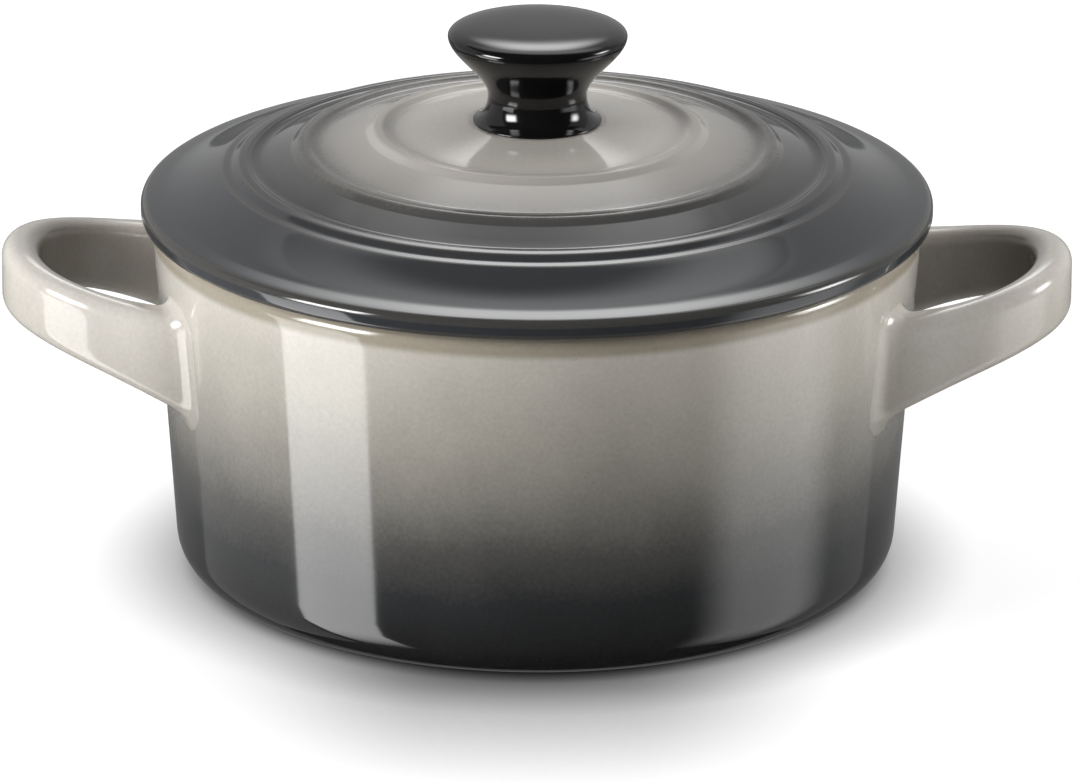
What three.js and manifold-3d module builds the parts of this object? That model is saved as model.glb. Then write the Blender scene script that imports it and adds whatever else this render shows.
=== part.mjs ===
// A small round stoneware casserole for one portion: a pot with a loop handle luted on at each
// side, and a stepped domed lid whose black knob is held by a screw from below.
// Millimetres, +Z up. The origin is the centre of the base, on the table. +X runs through the
// right handle, and the front is -Y.

import * as THREE from 'three';
import { mergeVertices } from 'three/addons/utils/BufferGeometryUtils.js';
import Module from 'manifold-3d';

const wasm = await Module();
wasm.setup();

// Pot
const POT_HEIGHT = 48;
const POT_BASE_RADIUS = 47.3;
const POT_MOUTH_RADIUS = 50.6;
const POT_WALL = 4.6;
const POT_FLOOR = 6.2;
const POT_BASE_ROUND = 5;
const POT_FLOOR_ROUND = 8;
const POT_LIP_ROUND = 1.8;
const FOOT_RING_WIDTH = 6;
const FOOT_RECESS = 1;

// Handles
const HANDLE_STANDOFF = 17.9;
const HANDLE_HALF_SPAN = 18.1;
const HANDLE_TIP_DROP = 8.6;
const HANDLE_ROOT_DROP = 15.5;
const HANDLE_TIP_THICKNESS = 5;
const HANDLE_ARM_THICKNESS = 4.4;
const HANDLE_TIP_HEIGHT = 9.2;
const HANDLE_ROOT_HEIGHT = 13.7;
const HANDLE_EDGE_ROUND = 2;
const HANDLE_TIP_EASE = 12.2;
const HANDLE_SHOULDER_OUT = 7.8;
const HANDLE_SHOULDER_IN = 0.85;
const ROOT_FLARE = 1.4;
const ROOT_FLARE_UP = 0.6;
const ROOT_FLARE_LENGTH = 10;
const ROOT_EMBED = 3;
const LUTING_GAP = 0.3;

// Lid, with heights measured from its seat on the pot's lip
const LID_OVERHANG = 1.4;
const LID_RIM_HEIGHT = 2.5;
const LID_RIM_ROUND = 2.9;
const LID_RIM_FALL = 0.5;
const LID_EDGE_ROUND = 0.8;
const LID_CROWN_HEIGHT = 12.7;
const LID_CROWN_THICKNESS = 4.7;
const LID_UNDER_BELLY = 7.6;
const LID_UNDER_BELLY_INSET = 5.8;
const INNER_RING_RADIUS = 20.8;
const INNER_RING_CREST = 11.95;
const MIDDLE_RING_RADIUS = 30.7;
const MIDDLE_RING_CREST = 9.75;
const OUTER_RING_RADIUS = 38.6;
const OUTER_RING_CREST = 7.45;
const RING_WIDTH = 3.4;
const RING_INNER_RISE = 0.5;
const RING_OUTER_DROP = 1.1;
const FLANGE_SWEEP = 3.3;
const SPIGOT_DEPTH = 3.5;
const SPIGOT_WIDTH = 3;
const SPIGOT_CLEARANCE = 1.2;
const LID_HOLE_CLEARANCE = 0.8;

// Knob, with heights measured from its foot on the lid's crown
const KNOB_FOOT_RADIUS = 8.45;
const KNOB_FOOT_EDGE = 0.25;
const KNOB_FOOT_EASE = 0.65;
const KNOB_NECK_RADIUS = 6.5;
const KNOB_NECK_HEIGHT = 2.9;
const KNOB_HEAD_RADIUS = 11.75;
const KNOB_HEAD_HEIGHT = 11.9;
const KNOB_NECK_EASE = 3.5;
const KNOB_HEAD_EASE = 2.6;
const KNOB_HEAD_RISE = 1.2;
const KNOB_HEAD_ROLL = 2.6;
const KNOB_DOME = 0.25;
const KNOB_SEAT_MARGIN = 0.6;

// Fixing of the knob
const SCREW_RADIUS = 2;
const SCREW_HEAD_RADIUS = 3.6;
const SCREW_HEAD_HEIGHT = 2.4;
const SCREW_HEAD_ROUND = 1;
const SCREW_SLOT_WIDTH = 1;
const SCREW_SLOT_DEPTH = 1.1;
const SCREW_TIP_MARGIN = 1.5;
const SCREW_CLEARANCE = 0.3;
const INSERT_RADIUS = 3.6;
const INSERT_LENGTH = 8;
const INSERT_RECESS = 0.3;
const INSERT_CLEARANCE = 0.3;
const WASHER_RADIUS = 5.5;
const WASHER_THICKNESS = 1;
const CUSHION_RADIUS = 6.5;
const CUSHION_THICKNESS = 1.5;
const CUSHION_MARGIN = 2.5;

// Fineness of the facets
const BODY_SIDES = 56;
const KNOB_SIDES = 32;
const FIXING_SIDES = 24;
const CURVE_STEPS = 3;
const HANDLE_STATIONS = 24;
const CORNER_STEPS = 3;

// Places worked out from the sizes above
const LID_RADIUS = POT_MOUTH_RADIUS + LID_OVERHANG;
const LID_SEAT_Z = POT_HEIGHT;
const CROWN_Z = LID_SEAT_Z + LID_CROWN_HEIGHT;
const CROWN_UNDER_Z = CROWN_Z - LID_CROWN_THICKNESS;
const CUSHION_Z = CROWN_UNDER_Z - CUSHION_THICKNESS;
const WASHER_Z = CUSHION_Z - WASHER_THICKNESS;
const INSERT_Z = CROWN_Z + INSERT_RECESS;
const SCREW_TIP_Z = INSERT_Z + INSERT_LENGTH - SCREW_TIP_MARGIN;
const SCREW_HOLE_RADIUS = SCREW_RADIUS + SCREW_CLEARANCE;

// Outer radius of the tapered wall at a height
function wallRadius(z) {
  return THREE.MathUtils.lerp(POT_BASE_RADIUS, POT_MOUTH_RADIUS, z / POT_HEIGHT);
}

// Solid turned about Z from a profile of radius and height
function turned(profile, sides) {
  const geometry = new THREE.LatheGeometry(profile.getPoints(CURVE_STEPS), sides);
  geometry.rotateX(Math.PI / 2);
  return geometry;
}

// Closed ring with a square section
function washerGeometry(innerRadius, outerRadius, bottom, top) {
  const profile = new THREE.Path();
  profile.moveTo(innerRadius, bottom);
  profile.lineTo(outerRadius, bottom);
  profile.lineTo(outerRadius, top);
  profile.lineTo(innerRadius, top);
  profile.lineTo(innerRadius, bottom);
  return turned(profile, FIXING_SIDES);
}

// Solid for joining and cutting, with shared corners merged and flat triangles dropped
function toSolid(source) {
  const bare = source.clone();
  bare.deleteAttribute('normal');
  bare.deleteAttribute('uv');
  const merged = mergeVertices(bare, 1e-4);
  const corners = merged.index.array;
  const triangles = [];
  for (let i = 0; i < corners.length; i += 3) {
    const [a, b, c] = corners.slice(i, i + 3);
    if (a !== b && b !== c && c !== a) {
      triangles.push(a, b, c);
    }
  }
  return new wasm.Manifold(new wasm.Mesh({
    numProp: 3,
    vertProperties: Float32Array.from(merged.attributes.position.array),
    triVerts: Uint32Array.from(triangles),
  }));
}

function toGeometry(solid) {
  const mesh = solid.getMesh();
  const geometry = new THREE.BufferGeometry();
  geometry.setAttribute('position', new THREE.BufferAttribute(mesh.vertProperties, 3));
  geometry.setIndex(new THREE.BufferAttribute(mesh.triVerts, 1));
  geometry.computeVertexNormals();
  return geometry;
}

// Pot: recessed foot, rounded base edge, tapered wall and rounded lip with a narrow land on top
function potGeometry() {
  const baseCentre = wallRadius(POT_BASE_ROUND) - POT_BASE_ROUND;
  const lipZ = POT_HEIGHT - POT_LIP_ROUND;
  const lipOuter = wallRadius(lipZ);
  const lipInner = lipOuter - POT_WALL;
  const floorRoundZ = POT_FLOOR + POT_FLOOR_ROUND;
  const floorCentre = wallRadius(floorRoundZ) - POT_WALL - POT_FLOOR_ROUND;
  const profile = new THREE.Path();
  profile.moveTo(0, FOOT_RECESS);
  profile.lineTo(baseCentre - FOOT_RING_WIDTH - FOOT_RECESS, FOOT_RECESS);
  profile.lineTo(baseCentre - FOOT_RING_WIDTH, 0);
  profile.absarc(baseCentre, POT_BASE_ROUND, POT_BASE_ROUND, -Math.PI / 2, 0);
  profile.absarc(lipOuter - POT_LIP_ROUND, lipZ, POT_LIP_ROUND, 0, Math.PI / 2);
  profile.absarc(lipInner + POT_LIP_ROUND, lipZ, POT_LIP_ROUND, Math.PI / 2, Math.PI);
  profile.absarc(floorCentre, floorRoundZ, POT_FLOOR_ROUND, 0, -Math.PI / 2, true);
  profile.lineTo(0, POT_FLOOR);
  return turned(profile, BODY_SIDES);
}

// Solid inside of the wall's outer face, widened by the luting gap, that trims the handle roots
function wallTrimGeometry() {
  const profile = new THREE.Path();
  profile.moveTo(0, 0);
  profile.lineTo(POT_BASE_RADIUS + LUTING_GAP, 0);
  profile.lineTo(POT_MOUTH_RADIUS + LUTING_GAP, POT_HEIGHT);
  profile.lineTo(0, POT_HEIGHT);
  return turned(profile, BODY_SIDES);
}

// Rounded rectangle as pairs of distance outward and upward, in turning order
function bandSection(halfThickness, halfHeight) {
  const section = [];
  for (let corner = 0; corner < 4; corner++) {
    const outSign = corner === 0 || corner === 3 ? 1 : -1;
    const upSign = corner < 2 ? 1 : -1;
    for (let step = 0; step <= CORNER_STEPS; step++) {
      const angle = (corner + step / CORNER_STEPS) * Math.PI / 2;
      section.push([
        outSign * (halfThickness - HANDLE_EDGE_ROUND) + HANDLE_EDGE_ROUND * Math.cos(angle),
        upSign * (halfHeight - HANDLE_EDGE_ROUND) + HANDLE_EDGE_ROUND * Math.sin(angle),
      ]);
    }
  }
  return section;
}

// Sections of a handle's band, which leaves the wall, rises to the tip and comes back
function handleSections() {
  const tipZ = POT_HEIGHT - HANDLE_TIP_DROP;
  const rootZ = POT_HEIGHT - HANDLE_ROOT_DROP;
  const tipX = wallRadius(tipZ) + HANDLE_STANDOFF;
  const rootWall = wallRadius(rootZ);
  const rootX = Math.sqrt(rootWall ** 2 - HANDLE_HALF_SPAN ** 2) - ROOT_EMBED;
  const half = new THREE.CubicBezierCurve(
    new THREE.Vector2(tipX, 0),
    new THREE.Vector2(tipX, HANDLE_TIP_EASE),
    new THREE.Vector2(rootWall + HANDLE_SHOULDER_OUT, HANDLE_HALF_SPAN - HANDLE_SHOULDER_IN),
    new THREE.Vector2(rootX, HANDLE_HALF_SPAN),
  );
  const sections = [];
  for (let i = 0; i <= HANDLE_STATIONS; i++) {
    const along = 2 * i / HANDLE_STATIONS - 1;
    const side = along < 0 ? -1 : 1;
    const plan = half.getPoint(Math.abs(along));
    const heading = half.getTangent(Math.abs(along));
    const toTip = THREE.MathUtils.clamp((plan.x - rootX) / (tipX - rootX), 0, 1);
    const fromWall = Math.max(plan.length() - rootWall, 0);
    const spread = Math.max(1 - fromWall / ROOT_FLARE_LENGTH, 0) ** 2;
    const bandHeight = THREE.MathUtils.lerp(HANDLE_TIP_HEIGHT, HANDLE_ROOT_HEIGHT, (1 - toTip) ** 2);
    const halfHeight = bandHeight / 2 + ROOT_FLARE_UP * spread;
    const armShare = Math.sin(Math.PI * along) ** 2;
    const thickness = THREE.MathUtils.lerp(HANDLE_TIP_THICKNESS, HANDLE_ARM_THICKNESS, armShare);
    const halfThickness = thickness / 2 + ROOT_FLARE * spread;
    const middleZ = THREE.MathUtils.lerp(rootZ, tipZ, toTip);
    sections.push(bandSection(halfThickness, halfHeight).map(([out, up]) => [
      plan.x + heading.y * out,
      side * (plan.y - heading.x * out),
      middleZ + up,
    ]));
  }
  return sections;
}

// Closed skin through sections that have the same number of points
function lofted(sections) {
  const around = sections[0].length;
  const last = (sections.length - 1) * around;
  const index = [];
  for (let here = 0; here < last; here += around) {
    for (let j = 0; j < around; j++) {
      const next = (j + 1) % around;
      index.push(here + j, here + around + j, here + around + next);
      index.push(here + j, here + around + next, here + next);
    }
  }
  for (let j = 1; j < around - 1; j++) {
    index.push(0, j, j + 1);
    index.push(last, last + j + 1, last + j);
  }
  const geometry = new THREE.BufferGeometry();
  geometry.setAttribute('position', new THREE.Float32BufferAttribute(sections.flat(2), 3));
  geometry.setIndex(index);
  return geometry;
}

// Handle: its band, trimmed to lie against the wall
function handleGeometry() {
  const band = toSolid(lofted(handleSections()));
  return toGeometry(band.subtract(toSolid(wallTrimGeometry())));
}

// Lid: crown, raised rings on falling terraces, hollowed flange, rim, and a spigot underneath
function lidGeometry() {
  const holeRadius = SCREW_RADIUS + LID_HOLE_CLEARANCE;
  const spigotOuter = POT_MOUTH_RADIUS - POT_WALL - SPIGOT_CLEARANCE;
  const spigotInner = spigotOuter - SPIGOT_WIDTH;
  const rimTopRadius = LID_RADIUS - LID_RIM_ROUND;
  const up = (height) => LID_SEAT_Z + height;
  const profile = new THREE.Path();
  profile.moveTo(holeRadius, CROWN_UNDER_Z);
  profile.lineTo(CUSHION_RADIUS + CUSHION_MARGIN, CROWN_UNDER_Z);
  profile.quadraticCurveTo(
    spigotInner - LID_UNDER_BELLY_INSET, up(LID_UNDER_BELLY),
    spigotInner, LID_SEAT_Z,
  );
  profile.lineTo(spigotInner, up(-SPIGOT_DEPTH));
  profile.lineTo(spigotOuter, up(-SPIGOT_DEPTH));
  profile.lineTo(spigotOuter, LID_SEAT_Z);
  profile.lineTo(LID_RADIUS - LID_EDGE_ROUND, LID_SEAT_Z);
  profile.quadraticCurveTo(LID_RADIUS, LID_SEAT_Z, LID_RADIUS, up(LID_EDGE_ROUND));
  profile.quadraticCurveTo(
    LID_RADIUS, up(LID_RIM_HEIGHT - LID_RIM_FALL),
    rimTopRadius, up(LID_RIM_HEIGHT),
  );
  const flangeStart = OUTER_RING_RADIUS + RING_WIDTH / 2;
  const sweepRadius = flangeStart + FLANGE_SWEEP;
  const flangeFall = LID_RIM_FALL / LID_RIM_ROUND;
  profile.quadraticCurveTo(
    sweepRadius, up(LID_RIM_HEIGHT + flangeFall * (rimTopRadius - sweepRadius)),
    flangeStart, up(OUTER_RING_CREST - RING_OUTER_DROP),
  );
  const ringsFromRim = [
    { radius: OUTER_RING_RADIUS, crest: OUTER_RING_CREST },
    { radius: MIDDLE_RING_RADIUS, crest: MIDDLE_RING_CREST },
    { radius: INNER_RING_RADIUS, crest: INNER_RING_CREST },
  ];
  const crestPull = (RING_OUTER_DROP + RING_INNER_RISE) / 2;
  for (const ring of ringsFromRim) {
    profile.lineTo(ring.radius + RING_WIDTH / 2, up(ring.crest - RING_OUTER_DROP));
    profile.quadraticCurveTo(
      ring.radius, up(ring.crest + crestPull),
      ring.radius - RING_WIDTH / 2, up(ring.crest - RING_INNER_RISE),
    );
  }
  profile.lineTo(KNOB_FOOT_RADIUS + KNOB_SEAT_MARGIN, CROWN_Z);
  profile.lineTo(holeRadius, CROWN_Z);
  profile.lineTo(holeRadius, CROWN_UNDER_Z);
  return turned(profile, BODY_SIDES);
}

// Knob: spread foot, waisted neck, flared head with a low dome, and a blind bore for the insert
function knobGeometry() {
  const boreRadius = INSERT_RADIUS + INSERT_CLEARANCE;
  const boreTop = INSERT_Z + INSERT_LENGTH + INSERT_CLEARANCE;
  const up = (height) => CROWN_Z + height;
  const headTop = KNOB_HEAD_HEIGHT + KNOB_HEAD_RISE;
  const profile = new THREE.Path();
  profile.moveTo(0, boreTop);
  profile.lineTo(boreRadius, boreTop);
  profile.lineTo(boreRadius, CROWN_Z);
  profile.lineTo(KNOB_FOOT_RADIUS - KNOB_FOOT_EDGE, CROWN_Z);
  profile.lineTo(KNOB_FOOT_RADIUS, up(KNOB_FOOT_EDGE));
  profile.quadraticCurveTo(
    KNOB_NECK_RADIUS, up(KNOB_FOOT_EDGE + KNOB_FOOT_EASE),
    KNOB_NECK_RADIUS, up(KNOB_NECK_HEIGHT),
  );
  profile.bezierCurveTo(
    KNOB_NECK_RADIUS, up(KNOB_NECK_HEIGHT + KNOB_NECK_EASE),
    KNOB_HEAD_RADIUS, up(KNOB_HEAD_HEIGHT - KNOB_HEAD_EASE),
    KNOB_HEAD_RADIUS, up(KNOB_HEAD_HEIGHT),
  );
  profile.quadraticCurveTo(
    KNOB_HEAD_RADIUS, up(headTop),
    KNOB_HEAD_RADIUS - KNOB_HEAD_ROLL, up(headTop),
  );
  profile.quadraticCurveTo(KNOB_NECK_RADIUS, up(headTop + KNOB_DOME), 0, up(headTop + KNOB_DOME));
  return turned(profile, KNOB_SIDES);
}

// Screw: pan head with a slot, below the washers, and a shank that ends inside the insert
function screwGeometry() {
  const headBottom = WASHER_Z - SCREW_HEAD_HEIGHT;
  const profile = new THREE.Path();
  profile.moveTo(0, headBottom);
  profile.lineTo(SCREW_HEAD_RADIUS - SCREW_HEAD_ROUND, headBottom);
  profile.absarc(
    SCREW_HEAD_RADIUS - SCREW_HEAD_ROUND, headBottom + SCREW_HEAD_ROUND,
    SCREW_HEAD_ROUND, -Math.PI / 2, 0,
  );
  profile.lineTo(SCREW_HEAD_RADIUS, WASHER_Z);
  profile.lineTo(SCREW_RADIUS, WASHER_Z);
  profile.lineTo(SCREW_RADIUS, SCREW_TIP_Z);
  profile.lineTo(0, SCREW_TIP_Z);
  const slot = new THREE.BoxGeometry(3 * SCREW_HEAD_RADIUS, SCREW_SLOT_WIDTH, 2 * SCREW_SLOT_DEPTH);
  slot.translate(0, 0, headBottom);
  return toGeometry(toSolid(turned(profile, FIXING_SIDES)).subtract(toSolid(slot)));
}

function insertGeometry() {
  return washerGeometry(SCREW_HOLE_RADIUS, INSERT_RADIUS, INSERT_Z, INSERT_Z + INSERT_LENGTH);
}

function screwWasherGeometry() {
  return washerGeometry(SCREW_HOLE_RADIUS, WASHER_RADIUS, WASHER_Z, CUSHION_Z);
}

function cushionGeometry() {
  return washerGeometry(SCREW_HOLE_RADIUS, CUSHION_RADIUS, CUSHION_Z, CROWN_UNDER_Z);
}

const potGlaze = { color: 0xa8a49e, roughness: 0.14, metalness: 0 };
const lidGlaze = { color: 0x77767a, roughness: 0.14, metalness: 0 };
const blackResin = { color: 0x141213, roughness: 0.12, metalness: 0 };
const brass = { color: 0xb08d48, roughness: 0.35, metalness: 1 };
const stainless = { color: 0xb4b6b8, roughness: 0.3, metalness: 1 };
const silicone = { color: 0x2b2b2d, roughness: 0.7, metalness: 0 };

function piece(name, geometry, finish) {
  const mesh = new THREE.Mesh(geometry, new THREE.MeshStandardMaterial(finish));
  mesh.name = name;
  return mesh;
}

const pot = new THREE.Group();
pot.add(piece('pot_body', potGeometry(), potGlaze));
pot.add(piece('right_handle', handleGeometry(), potGlaze));
const leftHandle = piece('left_handle', handleGeometry(), potGlaze);
leftHandle.rotation.z = Math.PI;
pot.add(leftHandle);

const lid = new THREE.Group();
lid.add(piece('lid', lidGeometry(), lidGlaze));
lid.add(piece('lid_knob', knobGeometry(), blackResin));
lid.add(piece('knob_insert', insertGeometry(), brass));
lid.add(piece('knob_screw', screwGeometry(), stainless));
lid.add(piece('screw_washer', screwWasherGeometry(), stainless));
lid.add(piece('cushion_washer', cushionGeometry(), silicone));

const casserole = new THREE.Group();
casserole.add(pot, lid);

export default casserole;
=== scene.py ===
"""Small round stoneware casserole for one portion, with a stepped lid and a black knob.

The glaze falls from warm grey at the lip and the crown to near black at the base and dark slate
at the lid's rim. Sizes are in millimetres until a mesh is made; every mesh is in metres.
"""
import math
from collections import namedtuple

import bpy
import numpy as np
from mathutils import Matrix, Vector


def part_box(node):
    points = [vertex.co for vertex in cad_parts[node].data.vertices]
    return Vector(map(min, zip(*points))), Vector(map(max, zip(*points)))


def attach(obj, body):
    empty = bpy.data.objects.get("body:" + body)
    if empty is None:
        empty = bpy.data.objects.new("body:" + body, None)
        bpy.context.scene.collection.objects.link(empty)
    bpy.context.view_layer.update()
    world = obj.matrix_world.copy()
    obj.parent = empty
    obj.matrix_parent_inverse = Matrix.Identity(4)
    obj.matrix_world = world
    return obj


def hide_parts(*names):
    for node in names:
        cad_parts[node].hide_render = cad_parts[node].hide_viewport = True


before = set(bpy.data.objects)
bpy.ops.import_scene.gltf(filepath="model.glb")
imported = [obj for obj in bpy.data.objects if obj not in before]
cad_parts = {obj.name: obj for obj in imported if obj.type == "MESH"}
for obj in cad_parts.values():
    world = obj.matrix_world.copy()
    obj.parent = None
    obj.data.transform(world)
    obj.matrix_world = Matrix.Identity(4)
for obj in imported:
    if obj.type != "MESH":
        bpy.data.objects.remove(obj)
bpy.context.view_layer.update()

MM = 0.001

# Pot
POT_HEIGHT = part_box("pot_body")[1].z / MM
LID_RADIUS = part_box("lid")[1].x / MM
LID_OVERHANG = 1.4
POT_MOUTH_RADIUS = LID_RADIUS - LID_OVERHANG
POT_BASE_RADIUS = 47.3
POT_WALL = 4.6
POT_FLOOR = 6.2
POT_BASE_ROUND = 5.2
POT_FLOOR_ROUND = 8
POT_LIP_ROUND = 1.8
LIP_GLAZE_JOIN = 0.2
FOOT_INNER_RADIUS = 36.6
FOOT_RECESS = 1
FOOT_EDGE_ROUND = 0.5

# Handles
HANDLE_STANDOFF = 17.9
HANDLE_HALF_SPAN = 18.1
HANDLE_TIP_DROP = 8.6
HANDLE_ROOT_DROP = 15.5
HANDLE_TIP_THICKNESS = 5
HANDLE_ARM_THICKNESS = 4.4
HANDLE_TIP_HEIGHT = 9.2
HANDLE_ROOT_HEIGHT = 13.7
HANDLE_EDGE_ROUND = 2.1
HANDLE_TIP_EASE = 12.2
HANDLE_SHOULDER_OUT = 7.8
HANDLE_SHOULDER_IN = 0.85
HANDLE_ROOT_DEPTH = 3
ROOT_FLARE = 0.6
ROOT_FLARE_UP = 0.3
ROOT_FLARE_LENGTH = 10
ROOT_FILLET = 2.0
ROOT_SINK = 0.4
# Shares of the band's curve among which the place where it meets the wall is looked for
ROOT_SEARCH = np.linspace(0.5, 1.3, 1000)

# Lid, with heights measured from its seat on the lip
LID_SEAT = POT_HEIGHT
LID_RIM_HEIGHT = 3.0
LID_RIM_LAND = 2.6
LID_RIM_FALL = 0.46
LID_RIM_ROUND = 1.1
LID_EDGE_ROUND = 0.8
LID_CROWN_HEIGHT = 12.7
LID_CROWN_THICKNESS = 4.7
LID_CROWN_EDGE_ROUND = 2
LID_UNDER_BELLY = 7.6
LID_UNDER_BELLY_INSET = 5.8
LID_UNDER_FLAT = 2.5
LID_HOLE_RADIUS = 2.8
SPIGOT_DEPTH = 3.5
SPIGOT_WIDTH = 3
SPIGOT_CLEARANCE = 1.2
SPIGOT_ROUND = 0.9
RingSize = namedtuple("RingSize", "radius crest fall")
LID_RINGS = (
    RingSize(20.8, 11.95, 0.1), RingSize(30.7, 9.75, 0.08), RingSize(38.6, 7.55, 0.21),
)
RING_WIDTH = 3.4
RING_INNER_RISE = 0.7
RING_OUTER_DROP = 0.95
RING_OUTER_FOOT = 1.6
RING_CREST_LAND = 1.2
RING_CREST_ROUND = 1.0
RING_FOOT_ROUND = 1.0
RING_INNER_ROUND = 2.0
FLANGE_STEP_RADIUS = 41.3
FLANGE_STEP_FALL = 0.15
FLANGE_STEP_ROUND = 1.6
FLANGE_STEP_REACH = 0.7
FLANGE_STEP_DIP = 0.35
FLANGE_BEND_RADIUS = 47.0

# Knob, with heights measured from its foot on the crown
CROWN = LID_SEAT + LID_CROWN_HEIGHT
KNOB_FOOT_RADIUS = 8.45
KNOB_FOOT_EDGE = 0.25
KNOB_FOOT_EASE = 0.45
KNOB_FOOT_INSET = 1.2
KNOB_NECK_RADIUS = 6.5
KNOB_NECK_HEIGHT = 3.6
KNOB_HEAD_RADIUS = 11.75
KNOB_HEAD_HEIGHT = 11.6
KNOB_NECK_EASE = 2.8
KNOB_HEAD_EASE = 2.2
KNOB_HEAD_RISE = 1.4
KNOB_HEAD_FLAT = 7.0
KNOB_SEAT_RADIUS = 9.05
KNOB_BORE_RADIUS = 3.9
KNOB_BORE_ROUND = 0.2
KNOB_BORE_END = 0.3

# Fixing of the knob
SCREW_RADIUS = 2
SCREW_HEAD_RADIUS = 3.6
SCREW_HEAD_ROUND = 1
SCREW_HEAD_EDGE = 0.2
SCREW_NECK_ROUND = 0.15
SCREW_SHANK_START = 0.2
SCREW_TIP_CHAMFER = 0.6
SCREW_SLOT_WIDTH = 1
SCREW_SLOT_DEPTH = 1.1
SCREW_THREAD_PITCH = 0.7
SCREW_THREAD_DEPTH = 0.38
SCREW_THREAD_STEPS = 10
SCREW_HOLE_RADIUS = 2.3
INSERT_RADIUS = 3.6
INSERT_RIBS = 28
INSERT_RIB_DEPTH = 0.25
INSERT_GROOVE_WIDTH = 1.2
INSERT_GROOVE_SLOPE = 0.2
INSERT_EDGE_ROUND = 0.25
INSERT_BORE_ROUND = 0.15
WASHER_RADIUS = 5.5
WASHER_ROUND = 0.25
CUSHION_RADIUS = 6.5
CUSHION_ROUND = 0.45
INSERT_LOW, INSERT_HIGH = (corner.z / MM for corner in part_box("knob_insert"))
SCREW_LOW, SCREW_HIGH = (corner.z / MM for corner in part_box("knob_screw"))
WASHER_LOW, WASHER_HIGH = (corner.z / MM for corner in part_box("screw_washer"))
CUSHION_LOW, CUSHION_HIGH = (corner.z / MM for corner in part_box("cushion_washer"))

# Fineness
BODY_SIDES = 224
KNOB_SIDES = 128
FIXING_SIDES = 72
ARC_STEPS = 9
RUN_STEP = 1.6
WELD = 1e-6
SHORTEST_RUN = 1e-4
ON_FACE = 0.01
RIB_STEPS = 6
SHARP_EDGE = math.radians(35)
HANDLE_STATIONS = 84
HANDLE_CORNER_STEPS = 8
HANDLE_SIDE_STEPS = 6
HANDLE_ROOT_CROWDING = 2.2

# Camera, fitted to the outlines of the lid, wall, base and knob in the photograph
CAMERA_AZIMUTH = math.radians(0.67)
CAMERA_ELEVATION = math.radians(19.486)
CAMERA_ROLL = math.radians(0.263)
CAMERA_DISTANCE = 1.25
CAMERA_TARGET = Vector((0.000515, 0, 0.02305))
CAMERA_LENS = 315
CAMERA_SENSOR = 36
CAMERA_CLIP = (0.05, 50)


# Profiles

Corner = namedtuple("Corner", "radius height round shown", defaults=(0, 1))


def wall_radius(height):
    """Outer radius of the pot's tapered wall at a height."""
    return POT_BASE_RADIUS + (POT_MOUTH_RADIUS - POT_BASE_RADIUS) * height / POT_HEIGHT


def bezier(*controls, steps=24):
    """Points on a quadratic or cubic curve, as an array."""
    degree = len(controls) - 1
    share = np.linspace(0, 1, steps + 1)[:, None]
    points = np.zeros((steps + 1, len(controls[0])))
    for i, control in enumerate(controls):
        weight = math.comb(degree, i) * share**i * (1 - share) ** (degree - i)
        points += weight * np.asarray(control, float)
    return points


def curved(*controls, shown=1, steps=24):
    """A curve as a run of plain corners, for a profile."""
    return [Corner(r, z, 0, shown) for r, z in bezier(*controls, steps=steps)]


def rounded(corners):
    """Rows of radius, height and shown along a profile, with its corners rounded."""
    rows = []
    last = len(corners) - 1
    for i, corner in enumerate(corners):
        here = np.array(corner[:2], float)
        if corner.round == 0 or i in (0, last):
            rows.append([*here, corner.shown])
            continue
        back = np.array(corners[i - 1][:2]) - here
        on = np.array(corners[i + 1][:2]) - here
        back /= np.linalg.norm(back)
        on /= np.linalg.norm(on)
        half_angle = 0.5 * math.acos(np.clip(back @ on, -1, 1))
        reach = corner.round / math.tan(half_angle)
        inward = (back + on) / np.linalg.norm(back + on)
        centre = here + inward * corner.round / math.sin(half_angle)
        start = here + back * reach - centre
        sweep = math.pi - 2 * half_angle
        turn = math.copysign(1, back[1] * on[0] - back[0] * on[1])
        for step in range(ARC_STEPS + 1):
            angle = turn * sweep * step / ARC_STEPS
            cos, sin = math.cos(angle), math.sin(angle)
            arm = (cos * start[0] - sin * start[1], sin * start[0] + cos * start[1])
            rows.append([centre[0] + arm[0], centre[1] + arm[1], corner.shown])
    return divided(np.array(rows))


def divided(rows):
    """The same profile with its long straight runs divided."""
    out = [rows[0]]
    for before, after in zip(rows, rows[1:]):
        length = np.linalg.norm(after[:2] - before[:2])
        if length < SHORTEST_RUN:
            continue
        pieces = max(1, math.ceil(length / RUN_STEP))
        out += [before + (after - before) * k / pieces for k in range(1, pieces + 1)]
    return np.array(out)


def thin_glaze(points, slackest=0.25, tightest=0.7):
    """How far glaze runs off each point of a profile: 1 on a tight outward edge, 0 on a flat."""
    steps = np.diff(points, axis=0)
    heading = np.unwrap(np.arctan2(steps[:, 1], steps[:, 0]))
    lengths = np.linalg.norm(steps, axis=1)
    bend = np.zeros(len(points))
    bend[1:-1] = np.diff(heading) / (0.5 * (lengths[1:] + lengths[:-1]))
    return np.clip((bend - slackest) / (tightest - slackest), 0, 1)


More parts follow.
